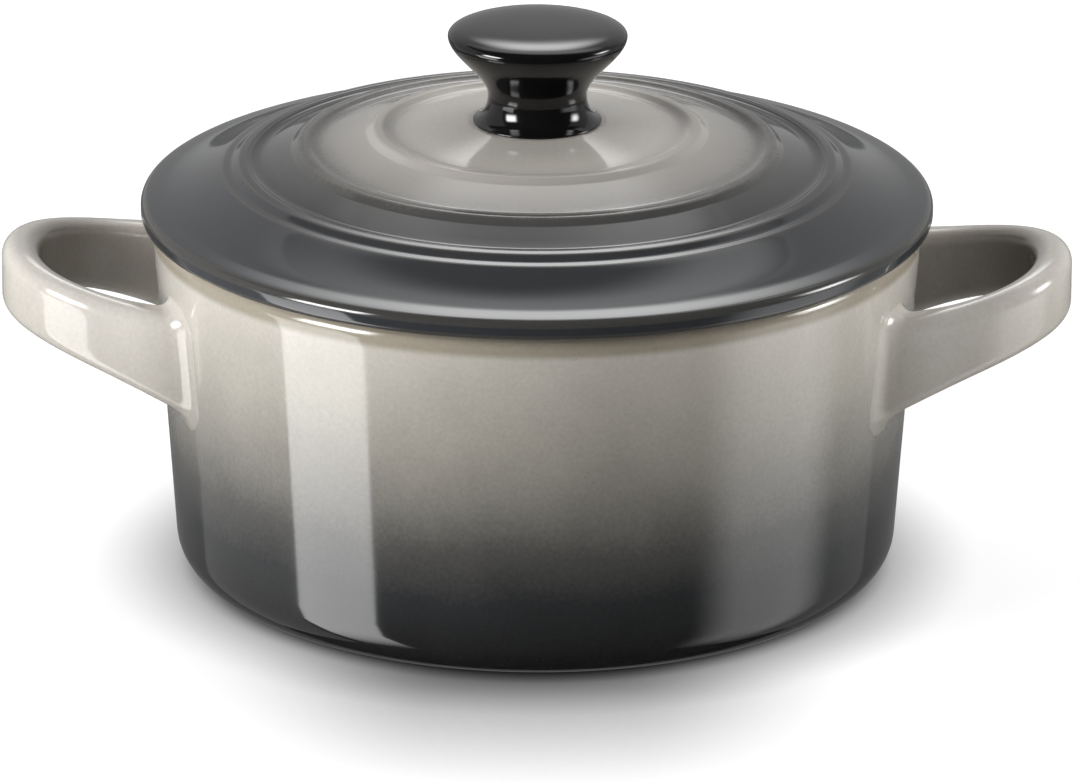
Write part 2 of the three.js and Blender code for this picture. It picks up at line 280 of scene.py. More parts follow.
def pot_profile():
    """From the middle of the underside, round the foot, up the wall and back inside."""
    mouth = POT_MOUTH_RADIUS
    land = mouth - POT_WALL / 2
    return rounded([
        Corner(0, FOOT_RECESS),
        Corner(FOOT_INNER_RADIUS - FOOT_RECESS, FOOT_RECESS, FOOT_EDGE_ROUND),
        Corner(FOOT_INNER_RADIUS, 0, FOOT_EDGE_ROUND),
        Corner(POT_BASE_RADIUS, 0, POT_BASE_ROUND),
        Corner(mouth, POT_HEIGHT, POT_LIP_ROUND),
        Corner(land + LIP_GLAZE_JOIN, POT_HEIGHT),
        Corner(land - LIP_GLAZE_JOIN, POT_HEIGHT, 0, 0),
        Corner(mouth - POT_WALL, POT_HEIGHT, POT_LIP_ROUND, 0),
        Corner(wall_radius(POT_FLOOR) - POT_WALL, POT_FLOOR, POT_FLOOR_ROUND, 0),
        Corner(0, POT_FLOOR, 0, 0),
    ])


def lid_profile():
    """From the hole, out along the underside, round the rim and back over the rings."""
    under = CROWN - LID_CROWN_THICKNESS
    spigot_outer = POT_MOUTH_RADIUS - POT_WALL - SPIGOT_CLEARANCE
    spigot_inner = spigot_outer - SPIGOT_WIDTH
    spigot_low = LID_SEAT - SPIGOT_DEPTH
    belly = (spigot_inner - LID_UNDER_BELLY_INSET, LID_SEAT + LID_UNDER_BELLY)
    corners = [Corner(LID_HOLE_RADIUS, under, 0, 0)]
    flat = (CUSHION_RADIUS + LID_UNDER_FLAT, under)
    corners += curved(flat, belly, (spigot_inner, LID_SEAT), shown=0)
    corners += [
        Corner(spigot_inner, spigot_low, SPIGOT_ROUND, 0),
        Corner(spigot_outer, spigot_low, SPIGOT_ROUND, 0),
        Corner(spigot_outer, LID_SEAT, SPIGOT_ROUND / 2, 0),
        Corner(LID_RADIUS, LID_SEAT, LID_EDGE_ROUND),
    ]
    land = (LID_RADIUS - LID_RIM_LAND, LID_SEAT + LID_RIM_HEIGHT)
    corners.append(Corner(LID_RADIUS, land[1] - LID_RIM_FALL, LID_RIM_ROUND))
    outer = LID_RINGS[-1]
    step_height = LID_SEAT + outer.crest - RING_OUTER_DROP - FLANGE_STEP_FALL
    bend_height = land[1] + LID_RIM_FALL / LID_RIM_LAND * (land[0] - FLANGE_BEND_RADIUS)
    corners += curved(
        land,
        (FLANGE_BEND_RADIUS, bend_height),
        (FLANGE_STEP_RADIUS + FLANGE_STEP_REACH, step_height - FLANGE_STEP_DIP),
    )
    corners.append(Corner(FLANGE_STEP_RADIUS, step_height, FLANGE_STEP_ROUND))
    for ring in reversed(LID_RINGS):
        crest = LID_SEAT + ring.crest
        corners += [
            Corner(ring.radius + RING_OUTER_FOOT, crest - RING_OUTER_DROP, RING_FOOT_ROUND),
            Corner(ring.radius + RING_CREST_LAND / 2, crest - ring.fall, RING_CREST_ROUND),
            Corner(ring.radius - RING_CREST_LAND / 2, crest, RING_CREST_ROUND),
            Corner(ring.radius - RING_WIDTH / 2, crest - RING_INNER_RISE, RING_INNER_ROUND),
        ]
    corners += [
        Corner(KNOB_SEAT_RADIUS, CROWN, LID_CROWN_EDGE_ROUND),
        Corner(LID_HOLE_RADIUS, CROWN),
        Corner(LID_HOLE_RADIUS, under, 0, 0),
    ]
    return rounded(corners)


def knob_profile():
    """From the end of the bore, round the foot, up the neck and over the flared head."""
    head_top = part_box("lid_knob")[1].z / MM - CROWN
    corners = [
        Corner(0, INSERT_HIGH + KNOB_BORE_END),
        Corner(KNOB_BORE_RADIUS, INSERT_HIGH + KNOB_BORE_END, KNOB_BORE_ROUND),
        Corner(KNOB_BORE_RADIUS, CROWN, KNOB_BORE_ROUND),
        Corner(KNOB_FOOT_RADIUS, CROWN, KNOB_FOOT_EDGE / 2),
        Corner(KNOB_FOOT_RADIUS, CROWN + KNOB_FOOT_EDGE, KNOB_FOOT_EDGE / 2),
    ]
    # Three cubic curves end to end: foot to neck, neck to head, and over the head
    controls = [
        (KNOB_FOOT_RADIUS, KNOB_FOOT_EDGE),
        (KNOB_FOOT_RADIUS - KNOB_FOOT_INSET, KNOB_FOOT_EDGE + KNOB_FOOT_EASE),
        (KNOB_NECK_RADIUS, KNOB_NECK_HEIGHT / 2),
        (KNOB_NECK_RADIUS, KNOB_NECK_HEIGHT),
        (KNOB_NECK_RADIUS, KNOB_NECK_HEIGHT + KNOB_NECK_EASE),
        (KNOB_HEAD_RADIUS, KNOB_HEAD_HEIGHT - KNOB_HEAD_EASE),
        (KNOB_HEAD_RADIUS, KNOB_HEAD_HEIGHT),
        (KNOB_HEAD_RADIUS, KNOB_HEAD_HEIGHT + KNOB_HEAD_RISE),
        (KNOB_HEAD_FLAT, head_top),
        (0, head_top),
    ]
    controls = [(radius, CROWN + height) for radius, height in controls]
    for start in range(0, len(controls) - 1, 3):
        corners += curved(*controls[start:start + 4])[1:]
    return rounded(corners)


def washer_profile(inner, outer, low, high, edge):
    """A flat ring with rounded edges, begun and ended halfway up its hole."""
    return rounded([
        Corner(inner, (low + high) / 2),
        Corner(inner, low, edge),
        Corner(outer, low, edge),
        Corner(outer, high, edge),
        Corner(inner, high, edge),
        Corner(inner, (low + high) / 2),
    ])


def insert_profile():
    """Insert with a plain groove round its middle, which keys it into the resin."""
    middle = (INSERT_LOW + INSERT_HIGH) / 2
    groove = INSERT_RADIUS - 2 * INSERT_RIB_DEPTH
    half = INSERT_GROOVE_WIDTH / 2
    return rounded([
        Corner(SCREW_HOLE_RADIUS, middle),
        Corner(SCREW_HOLE_RADIUS, INSERT_LOW, INSERT_BORE_ROUND),
        Corner(INSERT_RADIUS, INSERT_LOW, INSERT_EDGE_ROUND),
        Corner(INSERT_RADIUS, middle - half),
        Corner(groove, middle - half + INSERT_GROOVE_SLOPE),
        Corner(groove, middle + half - INSERT_GROOVE_SLOPE),
        Corner(INSERT_RADIUS, middle + half),
        Corner(INSERT_RADIUS, INSERT_HIGH, INSERT_EDGE_ROUND),
        Corner(SCREW_HOLE_RADIUS, INSERT_HIGH, INSERT_BORE_ROUND),
        Corner(SCREW_HOLE_RADIUS, middle),
    ])


def screw_profile():
    """From the head's face, round the head and up the shank, close enough for a thread."""
    head_top = WASHER_LOW
    thread_steps = round((SCREW_HIGH - head_top) / SCREW_THREAD_PITCH * SCREW_THREAD_STEPS)
    shank_low = head_top + SCREW_SHANK_START
    shank_high = SCREW_HIGH - SCREW_TIP_CHAMFER
    shank = np.linspace(shank_low, shank_high, thread_steps)
    corners = [
        Corner(0, SCREW_LOW),
        Corner(SCREW_HEAD_RADIUS, SCREW_LOW, SCREW_HEAD_ROUND),
        Corner(SCREW_HEAD_RADIUS, head_top, SCREW_HEAD_EDGE),
        Corner(SCREW_RADIUS, head_top, SCREW_NECK_ROUND),
    ]
    corners += [Corner(SCREW_RADIUS, height) for height in shank]
    corners += [Corner(SCREW_RADIUS - SCREW_TIP_CHAMFER, SCREW_HIGH), Corner(0, SCREW_HIGH)]
    return rounded(corners)


# Nodes

def add(tree, kind, inputs=None, **settings):
    """A node with its settings, and with its inputs linked or set."""
    node = tree.nodes.new(kind)
    for name, value in settings.items():
        setattr(node, name, value)
    for key, value in (inputs or {}).items():
        if isinstance(value, bpy.types.NodeSocket):
            tree.links.new(value, node.inputs[key])
        else:
            node.inputs[key].default_value = value
    return node


def math_node(tree, operation, *values):
    return add(tree, "ShaderNodeMath", dict(enumerate(values)), operation=operation).outputs[0]


def axes(tree, vector):
    """The X, Y and Z of a vector."""
    return add(tree, "ShaderNodeSeparateXYZ", {0: vector}).outputs


def turned_tree():
    """Turns a profile about Z. Ribs and a thread shape the points whose masks ask for them."""
    tree = bpy.data.node_groups.new("turned_piece", "GeometryNodeTree")
    sockets = (
        ("Profile", "NodeSocketGeometry"),
        ("Profile Points", "NodeSocketInt"),
        ("Sides", "NodeSocketInt"),
        ("Ribs", "NodeSocketInt"),
        ("Rib Depth", "NodeSocketFloat"),
        ("Thread Pitch", "NodeSocketFloat"),
        ("Thread Depth", "NodeSocketFloat"),
        ("Weld", "NodeSocketFloat"),
        ("Material", "NodeSocketMaterial"),
    )
    for name, kind in sockets:
        tree.interface.new_socket(name, in_out="INPUT", socket_type=kind)
    tree.interface.new_socket("Piece", in_out="OUTPUT", socket_type="NodeSocketGeometry")
    given = add(tree, "NodeGroupInput").outputs
    points = given["Profile Points"]

    def worked(operation, *values):
        return math_node(tree, operation, *values)

    grid = add(tree, "GeometryNodeMeshGrid", {
        "Vertices X": worked("ADD", given["Sides"], 1.0), "Vertices Y": points,
    }).outputs["Mesh"]
    index = add(tree, "GeometryNodeInputIndex").outputs[0]
    column = worked("FLOOR", worked("DIVIDE", worked("ADD", index, 0.5), points))
    row = worked("SUBTRACT", index, worked("MULTIPLY", column, points))

    def sampled(field, kind):
        return add(tree, "GeometryNodeSampleIndex", {
            "Geometry": given["Profile"], "Value": field, "Index": row,
        }, data_type=kind, domain="POINT").outputs["Value"]

    def mask(name):
        field = add(tree, "GeometryNodeInputNamedAttribute", {"Name": name}, data_type="FLOAT")
        return sampled(field.outputs["Attribute"], "FLOAT")

    def zigzag(turns, depth, where):
        """Cut that goes in and out once a turn, where its mask asks for it."""
        cut = worked("MULTIPLY", worked("PINGPONG", turns, 0.5), 2.0)
        return worked("MULTIPLY", worked("MULTIPLY", cut, depth), mask(where))

    position = add(tree, "GeometryNodeInputPosition").outputs[0]
    place = axes(tree, sampled(position, "FLOAT_VECTOR"))
    share = worked("DIVIDE", column, given["Sides"])
    rib = zigzag(worked("MULTIPLY", share, given["Ribs"]), given["Rib Depth"], "ribbed")
    climb = worked("SUBTRACT", worked("DIVIDE", place["Z"], given["Thread Pitch"]), share)
    thread = zigzag(climb, given["Thread Depth"], "threaded")
    radius = worked("SUBTRACT", worked("SUBTRACT", place["X"], rib), thread)
    angle = worked("MULTIPLY", share, 2 * math.pi)
    turned = add(tree, "ShaderNodeCombineXYZ", {
        "X": worked("MULTIPLY", radius, worked("COSINE", angle)),
        "Y": worked("MULTIPLY", radius, worked("SINE", angle)),
        "Z": place["Z"],
    }).outputs[0]
    skin = grid
    for name in ("shown", "thin"):
        skin = add(tree, "GeometryNodeStoreNamedAttribute", {
            "Geometry": skin, "Name": name, "Value": mask(name),
        }, data_type="FLOAT", domain="POINT").outputs[0]
    for kind, inputs in (
        ("SetPosition", {"Position": turned}),
        ("MergeByDistance", {"Distance": given["Weld"]}),
        ("SetShadeSmooth", {}),
        ("RealizeInstances", {}),
        ("SetMaterial", {"Material": given["Material"]}),
    ):
        skin = add(tree, "GeometryNode" + kind, {"Geometry": skin, **inputs}).outputs[0]
    add(tree, "NodeGroupOutput", {"Piece": skin})
    return tree


# Meshes

def store(mesh, name, values):
    """Keeps one value for each point of a mesh."""
    mesh.attributes.new(name, "FLOAT", "POINT").data.foreach_set(
        "value", np.asarray(values, np.float32))


def new_object(name, mesh):
    piece = bpy.data.objects.new(name, mesh)
    bpy.context.scene.collection.objects.link(piece)
    return piece


def settle(piece):
    """Turns the piece's modifiers into a plain mesh."""
    graph = bpy.context.evaluated_depsgraph_get()
    mesh = bpy.data.meshes.new_from_object(piece.evaluated_get(graph))
    piece.modifiers.clear()
    piece.data = mesh
    return piece


def turned(name, profile, material, sides, ribbed=None, threaded=None, **sizes):
    """A turned piece made by the turned_piece tree from rows of radius, height and shown."""
    points = profile[:, :2]
    count = len(points)
    places = np.column_stack([points[:, 0], np.zeros(count), points[:, 1]]) * MM
    mesh = bpy.data.meshes.new(name)
    mesh.from_pydata(places.tolist(), [(i, i + 1) for i in range(count - 1)], [])
    masks = {
        "shown": profile[:, 2],
        "thin": thin_glaze(points),
        "ribbed": np.zeros(count) if ribbed is None else ribbed,
        "threaded": np.zeros(count) if threaded is None else threaded,
    }
    for mask, values in masks.items():
        store(mesh, mask, values)
    piece = new_object(name, mesh)
    modifier = piece.modifiers.new("turned_piece", "NODES")
    modifier.node_group = TURNED
    values = {
        "Profile Points": count,
        "Sides": sides,
        "Ribs": 1,
        "Rib Depth": 0.0,
        "Thread Pitch": 1.0,
        "Thread Depth": 0.0,
        "Weld": WELD,
        "Material": material,
        **sizes,
    }
    for item in TURNED.interface.items_tree:
        if item.in_out == "INPUT" and item.name in values:
            modifier[item.identifier] = values[item.name]
    return settle(piece)


def band_outline():
    """Points round the band's section: the signs of their corner and their normal."""
    signs = ((1, 1), (-1, 1), (-1, -1), (1, -1))
    rows = []
    for quarter, sign in enumerate(signs):
        following = signs[(quarter + 1) % 4]
        for step in range(HANDLE_CORNER_STEPS + 1):
            angle = (quarter + step / HANDLE_CORNER_STEPS) * math.pi / 2
            normal = (math.cos(angle), math.sin(angle))
            rows.append((*sign, *normal))
        for step in range(1, HANDLE_SIDE_STEPS):
            share = step / HANDLE_SIDE_STEPS
            between = [a + (b - a) * share for a, b in zip(sign, following)]
            rows.append((*between, *normal))
    return np.array(rows)


def band_places(along, outline):
    """Places and normals on half of a handle's band, which rises from the wall to the tip.
    along holds one column for each point of the outline, from 0 at the tip to 1 at the root."""
    tip_z = POT_HEIGHT - HANDLE_TIP_DROP
    root_z = POT_HEIGHT - HANDLE_ROOT_DROP
    tip_x = wall_radius(tip_z) + HANDLE_STANDOFF
    root_wall = wall_radius(root_z)
    root_x = math.sqrt(root_wall**2 - HANDLE_HALF_SPAN**2) - HANDLE_ROOT_DEPTH
    controls = np.array([
        (tip_x, 0),
        (tip_x, HANDLE_TIP_EASE),
        (root_wall + HANDLE_SHOULDER_OUT, HANDLE_HALF_SPAN - HANDLE_SHOULDER_IN),
        (root_x, HANDLE_HALF_SPAN),
    ])
    t = along[..., None]
    legs = np.diff(controls, axis=0)
    plan = ((1 - t) ** 3 * controls[0] + 3 * (1 - t) ** 2 * t * controls[1]
            + 3 * (1 - t) * t**2 * controls[2] + t**3 * controls[3])
    heading = (1 - t) ** 2 * legs[0] + 2 * (1 - t) * t * legs[1] + t**2 * legs[2]
    heading /= np.linalg.norm(heading, axis=-1, keepdims=True)
    to_tip = np.clip((plan[..., 0] - root_x) / (tip_x - root_x), 0, 1)
    from_wall = np.maximum(np.linalg.norm(plan, axis=-1) - root_wall, 0)
    spread = np.maximum(1 - from_wall / ROOT_FLARE_LENGTH, 0) ** 2
    height = HANDLE_TIP_HEIGHT + (HANDLE_ROOT_HEIGHT - HANDLE_TIP_HEIGHT) * (1 - to_tip) ** 2
    half_height = height / 2 + ROOT_FLARE_UP * spread
    arm_share = np.sin(math.pi * np.clip(along, 0, 1)) ** 2
    thickness = HANDLE_TIP_THICKNESS + (HANDLE_ARM_THICKNESS - HANDLE_TIP_THICKNESS) * arm_share
    half_thickness = thickness / 2 + ROOT_FLARE * spread
    sign_out, sign_up, normal_out, normal_up = outline.T
    out = sign_out * (half_thickness - HANDLE_EDGE_ROUND) + normal_out * HANDLE_EDGE_ROUND
    up = sign_up * (half_height - HANDLE_EDGE_ROUND) + normal_up * HANDLE_EDGE_ROUND
    middle_z = root_z + (tip_z - root_z) * to_tip
    places = np.stack([
        plan[..., 0] + heading[..., 1] * out,
        plan[..., 1] - heading[..., 0] * out,
        middle_z + up,
    ], axis=-1)
    normals = np.stack([
        heading[..., 1] * normal_out,
        -heading[..., 0] * normal_out,
        np.broadcast_to(normal_up, out.shape),
    ], axis=-1)
    return places, normals


def off_wall(places):
    """Distance of places from the pot's wall."""
    return np.linalg.norm(places[..., :2], axis=-1) - wall_radius(places[..., 2])


def filleted(places, normals):
    """The band's places, spread along the wall where they come near it."""
    wall = places * (1, 1, 0)
    wall /= np.linalg.norm(wall, axis=-1, keepdims=True)
    aside = normals - np.sum(normals * wall, axis=-1, keepdims=True) * wall
    aside /= np.maximum(np.linalg.norm(aside, axis=-1, keepdims=True), WELD)
    missing = np.clip(ROOT_FILLET - off_wall(places), 0, ROOT_FILLET)
    return places + aside * (ROOT_FILLET - np.sqrt(ROOT_FILLET**2 - missing**2))[..., None]


def handle(name, side, material):
    """A loop handle whose ends flare onto the wall and sink just below its face."""
    outline = band_outline()
    around = len(outline)
    depths = off_wall(band_places(np.repeat(ROOT_SEARCH[:, None], around, 1), outline)[0])
    root = ROOT_SEARCH[np.argmax(depths < -ROOT_SINK, axis=0)]
    spacing = 1 - (1 - np.linspace(0, 1, HANDLE_STATIONS)) ** HANDLE_ROOT_CROWDING
    half = filleted(*band_places(spacing[:, None] * root, outline))
    rows = np.concatenate([half[:0:-1] * (1, -1, 1), half]) * (side, side, 1)
    ends = [rows[0].mean(0), rows[-1].mean(0)]
    last = (len(rows) - 1) * around
    faces = []
    for here in range(0, last, around):
        for j in range(around):
            k = (j + 1) % around
            faces.append((here + j, here + around + j, here + around + k, here + k))
    first_end = len(rows) * around
    for j in range(around):
        k = (j + 1) % around
        faces.append((j, k, first_end))
        faces.append((last + k, last + j, first_end + 1))
    mesh = bpy.data.meshes.new(name)
    mesh.from_pydata(np.vstack([rows.reshape(-1, 3), ends]) * MM, [], faces)
    from_tip = np.abs(np.arange(len(rows)) - (len(rows) - 1) / 2) / ((len(rows) - 1) / 2)
    faces_in = np.clip(-outline[:, 2], 0, 1) ** HANDLE_SHADE_FOCUS
    arm = np.clip((from_tip - LIFT_TIP_LENGTH) / LIFT_ARM_LENGTH, 0, 1)
    lift = LIFT_AT_TIP + (1 - LIFT_AT_TIP) * arm
    # Near the root the lift fades out, blending into the wall's glaze and painting shade where
    # the handle meets the wall
    lift *= np.clip((1 - from_tip) / LIFT_ROOT_FADE, 0, 1)
    # Painted shade on the loop's inner faces, deepest towards the tip
    shade = np.clip(HANDLE_SHADE_REACH - from_tip, 0, 1) * HANDLE_PAINTED_SHADE[side]
    painted_shade = np.outer(shade, faces_in).ravel()
    store(mesh, "painted_shade", np.append(painted_shade, (0, 0)))
    store(mesh, "lift", np.append(np.repeat(lift, around), (0, 0)) * HANDLE_GLAZE_LIFT * MM)
    store(mesh, "shown", np.ones(first_end + 2))
    mesh.shade_smooth()
    mesh.materials.append(material)
    return new_object(name, mesh)


def slotted(screw):
    """Cuts the driver's slot across the screw's head."""
    cutter = bpy.data.meshes.new("slot")
    half = np.array([2 * SCREW_HEAD_RADIUS, SCREW_SLOT_WIDTH / 2, SCREW_SLOT_DEPTH]) * MM
    corners = [[x, y, z] for x in (-1, 1) for y in (-1, 1) for z in (-1, 1)]
    places = np.array(corners) * half + (0, 0, SCREW_LOW * MM)
    faces = [(0, 1, 3, 2), (4, 6, 7, 5), (0, 4, 5, 1), (2, 3, 7, 6), (0, 2, 6, 4), (1, 5, 7, 3)]
    cutter.from_pydata(places.tolist(), [], faces)
    slot = new_object("slot", cutter)
    cut = screw.modifiers.new("slot", "BOOLEAN")
    cut.object = slot
    cut.operation = "DIFFERENCE"
    cut.solver = "EXACT"
    settle(screw)
    bpy.data.objects.remove(slot)
    return screw


# Finishes

def srgb(red, green, blue):
    """A colour as seen on a screen, from 0 to 255, as linear light."""
    def linear(value):
        value /= 255
        return value / 12.92 if value <= 0.04045 else ((value + 0.055) / 1.055) ** 2.4
    return (linear(red), linear(green), linear(blue), 1)


GlazeStop = namedtuple("GlazeStop", "place colour")
POT_GLAZE_FALL = (
    GlazeStop(2, srgb(32, 32, 33)),
    GlazeStop(11, srgb(50, 51, 52)),
    GlazeStop(17.5, srgb(82, 81, 79)),
    GlazeStop(25, srgb(131, 128, 122)),
    GlazeStop(34, srgb(166, 162, 153)),
    GlazeStop(44, srgb(192, 187, 178)),
    GlazeStop(58, srgb(222, 217, 210)),
)
LID_GLAZE_FALL = (
    GlazeStop(17, srgb(190, 185, 178)),
    GlazeStop(27, srgb(146, 143, 139)),
    GlazeStop(31.5, srgb(80, 79, 78)),
    GlazeStop(37, srgb(58, 58, 60)),
    GlazeStop(41.5, srgb(60, 61, 63)),
    GlazeStop(50, srgb(52, 54, 57)),
)
THIN_GLAZE_AND_LIP_SHADOW = srgb(142, 133, 114)
# A band under the lip takes the thin glaze's colour: partly glaze drawn thin, partly painted
# shadow of the lid's overhang
LIP_BAND_LOW = 3.4
LIP_BAND_HIGH = 2.2
LIP_BAND_SHARE = 0.75
POT_THIN_EDGES = 0.55
LID_THIN_EDGES = 0.1
INNER_GLAZE = srgb(196, 192, 184)
BARE_CLAY = srgb(186, 170, 146)
CLAY_ROUGHNESS = 0.6
FOOT_CLAY_HEIGHT = 0.15
FOOT_GLAZE_HEIGHT = 0.5
SPIGOT_CLAY_HEIGHT = 0.1
SPIGOT_GLAZE_HEIGHT = 0.4

# A handle's glaze is that of a higher place on the pot, fading back to the pot's own at the root,
# which also paints shade where the handle meets the wall. Its inner face is darkened with painted
# shade, deepest near the tip and set per side by how the lamps reach it. Lengths are shares of
# the way from its tip to its root. The left handle is side -1, the right one side 1.
HANDLE_GLAZE_LIFT = 16
LIFT_AT_TIP = 0.4
LIFT_TIP_LENGTH = 0.15
LIFT_ARM_LENGTH = 0.35
LIFT_ROOT_FADE = 0.45
PAINTED_SHADE_GLAZE = srgb(92, 86, 82)
HANDLE_PAINTED_SHADE = {-1: 0.66, 1: 0.88}
HANDLE_SHADE_REACH = 1.15
HANDLE_SHADE_FOCUS = 1.6

# Grain, specks and waves of the glaze
GLAZE_WANDER = 1.6
GLAZE_CLOUD_SIZE = 9
GLAZE_GRAIN_SIZE = 0.55
GLAZE_SPECK_SIZE = 0.9
GLAZE_WAVE_SIZE = 14
GLAZE_WAVE_DEPTH = 0.02
SPECK_FIELD_SIZE = 2.7
SPECK_EDGE = (0.05, 0.22)
SPECK_RARITY = (0.05, 0.16)
CLOUD_WANDER = 2.0
GRAIN_WANDER = 1.6
CLOUD_TONE = 0.10
GRAIN_TONE = 0.16
SPECK_TONE = 0.16
GRAIN_HEIGHT = 0.012
GLAZE_ROUGHNESS = 0.075
CLOUD_ROUGHNESS = 0.05

# Knob and its fixing
RESIN_BLACK = srgb(13, 12, 12)
RESIN_SMUDGE = srgb(22, 21, 21)
RESIN_SMUDGE_SIZE = 6
RESIN_ROUGHNESS = 0.1
RESIN_SMUDGE_ROUGHNESS = 0.06
RESIN_WAVE_SIZE = 5
RESIN_WAVE_DEPTH = 0.004
LATHE_PITCH = 0.12
LATHE_DEPTH = 0.01
LATHE_ROUGHNESS = 0.15
TARNISH_SIZE = 2.5
TARNISH_EDGE = (-0.15, 0.2)
Metal = namedtuple("Metal", "bright dull roughness")
BRASS = Metal(srgb(196, 160, 92), srgb(150, 116, 62), 0.22)
STEEL = Metal(srgb(196, 197, 198), srgb(160, 161, 163), 0.18)
SILICONE_GREY = srgb(40, 40, 42)
SILICONE_DUST = srgb(58, 57, 56)
SILICONE_GRAIN_SIZE = 0.3
SILICONE_GRAIN_DEPTH = 0.02
SILICONE_ROUGHNESS = 0.62
SILICONE_GRAIN_ROUGHNESS = 0.2
DUST_SIZE = 2
DUST_EDGE = (-0.1, 0.25)


def shader_group(name, inputs, outputs):
    tree = bpy.data.node_groups.new(name, "ShaderNodeTree")
    for direction, sockets in (("INPUT", inputs), ("OUTPUT", outputs)):
        for socket, kind in sockets.items():
            tree.interface.new_socket(socket, in_out=direction, socket_type="NodeSocket" + kind)
    return tree, add(tree, "NodeGroupInput").outputs


def own_place(tree):
    """Places in the object's own frame."""
    return add(tree, "ShaderNodeTexCoord").outputs["Object"]


def noise(tree, vector, size, detail=2.0):
    """Noise around 0 whose features measure about size, in millimetres."""
    fac = add(tree, "ShaderNodeTexNoise", {
        "Vector": vector, "Scale": 1 / (size * MM), "Detail": detail,
    }).outputs["Fac"]
    return math_node(tree, "SUBTRACT", fac, 0.5)


def scaled(tree, value, factor):
    return math_node(tree, "MULTIPLY", value, factor)


def summed(tree, value, more):
    return math_node(tree, "ADD", value, more)


def grey(tree, value):
    """A value as a colour."""
    channels = dict.fromkeys(("Red", "Green", "Blue"), value)
    return add(tree, "ShaderNodeCombineColor", channels).outputs[0]


def radius_on(tree, axis):
    """Distance from the pot's axis."""
    flat = add(tree, "ShaderNodeCombineXYZ", {"X": axis["X"], "Y": axis["Y"]}).outputs[0]
    return add(tree, "ShaderNodeVectorMath", {0: flat}, operation="LENGTH").outputs["Value"]


def mixed(tree, factor, before, after, blend="MIX"):
    node = add(tree, "ShaderNodeMix", {"Factor": factor}, data_type="RGBA", blend_type=blend)
    for socket, value in (("A", before), ("B", after)):
        colour = next(i for i in node.inputs if i.name == socket and i.type == "RGBA")
        if isinstance(value, bpy.types.NodeSocket):
            tree.links.new(value, colour)
        else:
            colour.default_value = value
    return next(o for o in node.outputs if o.type == "RGBA")


def ranged(tree, value, low, high, to_low=0.0, to_high=1.0):
    return add(tree, "ShaderNodeMapRange", {
        "Value": value, "From Min": low, "From Max": high, "To Min": to_low, "To Max": to_high,
    }, interpolation_type="SMOOTHSTEP").outputs["Result"]


def glaze_skin_group():
    """What every glazed surface shares: a wandering edge of colour, fine grain, dark specks,
    the slow waves of a dipped surface and its changing gloss."""
    tree, given = shader_group(
        "glaze_skin",
        {"Vector": "Vector"},
        {"Wander": "Float", "Tone": "Float", "Height": "Float", "Roughness": "Float"},
    )
    vector = given["Vector"]
    cloud = noise(tree, vector, GLAZE_CLOUD_SIZE, detail=3.0)
    grain = noise(tree, vector, GLAZE_GRAIN_SIZE, detail=3.0)
    specks = add(tree, "ShaderNodeTexVoronoi", {
        "Vector": vector, "Scale": 1 / (GLAZE_SPECK_SIZE * MM),
    }).outputs["Distance"]
    speck = ranged(tree, specks, *SPECK_EDGE, 1.0, 0.0)
    rare = ranged(tree, noise(tree, vector, SPECK_FIELD_SIZE), *SPECK_RARITY)
    speck = scaled(tree, speck, rare)
    wave = noise(tree, vector, GLAZE_WAVE_SIZE, detail=1.0)
    wander = summed(tree, scaled(tree, cloud, CLOUD_WANDER), scaled(tree, grain, GRAIN_WANDER))
    tone = summed(tree, scaled(tree, cloud, CLOUD_TONE), scaled(tree, grain, GRAIN_TONE))
    tone = math_node(tree, "SUBTRACT", tone, scaled(tree, speck, SPECK_TONE))
    tone = summed(tree, tone, 1.0)
    height = summed(tree, wave, scaled(tree, grain, GRAIN_HEIGHT))
    rough = summed(tree, scaled(tree, cloud, CLOUD_ROUGHNESS), GLAZE_ROUGHNESS)
    add(tree, "NodeGroupOutput", {
        "Wander": wander, "Tone": tone, "Height": height, "Roughness": rough,
    })
    return tree


def lathe_marks_group():
    """Fine rings left by a lathe: they follow the height on a side and the radius on a face."""
    tree, given = shader_group(
        "lathe_marks",
        {"Vector": "Vector", "Pitch": "Float"},
        {"Height": "Float", "Tone": "Float"},
    )
    place = axes(tree, given["Vector"])
    along = summed(tree, radius_on(tree, place), place["Z"])
    along = math_node(tree, "DIVIDE", along, given["Pitch"])
    mark = add(tree, "ShaderNodeTexNoise", {
        "W": along, "Scale": 1.0, "Detail": 2.0,
    }, noise_dimensions="1D").outputs["Fac"]
    add(tree, "NodeGroupOutput", {"Height": mark, "Tone": mark})
    return tree


def material(name):
    """A new material, its tree, its Principled shader and places in the object's own frame."""
    made = bpy.data.materials.new(name)
    made.use_nodes = True
    tree = made.node_tree
    return made, tree, tree.nodes["Principled BSDF"], own_place(tree)


def dressed(tree, shader, colour, roughness, height, depth):
    """Gives a shader its colour, its roughness and a bump, whose full depth is in millimetres."""
    bump = add(tree, "ShaderNodeBump", {"Height": height, "Distance": depth * MM}).outputs[0]
    for name, value in (("Base Color", colour), ("Roughness", roughness), ("Normal", bump)):
        tree.links.new(value, shader.inputs[name])


def attribute(tree, name):
    return add(tree, "ShaderNodeAttribute", attribute_name=name).outputs["Fac"]


def fall_ramp(tree, place, stops):
    """Colour along a glaze's fall, from stops given in millimetres."""
    low, high = stops[0].place, stops[-1].place
    share = add(tree, "ShaderNodeMapRange", {
        "Value": place, "From Min": low * MM, "From Max": high * MM,
    }).outputs["Result"]
    ramp = add(tree, "ShaderNodeValToRGB", {"Fac": share})
    elements = ramp.color_ramp.elements
    while len(elements) < len(stops):
        elements.new(0.5)
    for element, stop in zip(elements, stops):
        element.position = (stop.place - low) / (high - low)
        element.color = stop.colour
    return ramp.outputs["Color"]


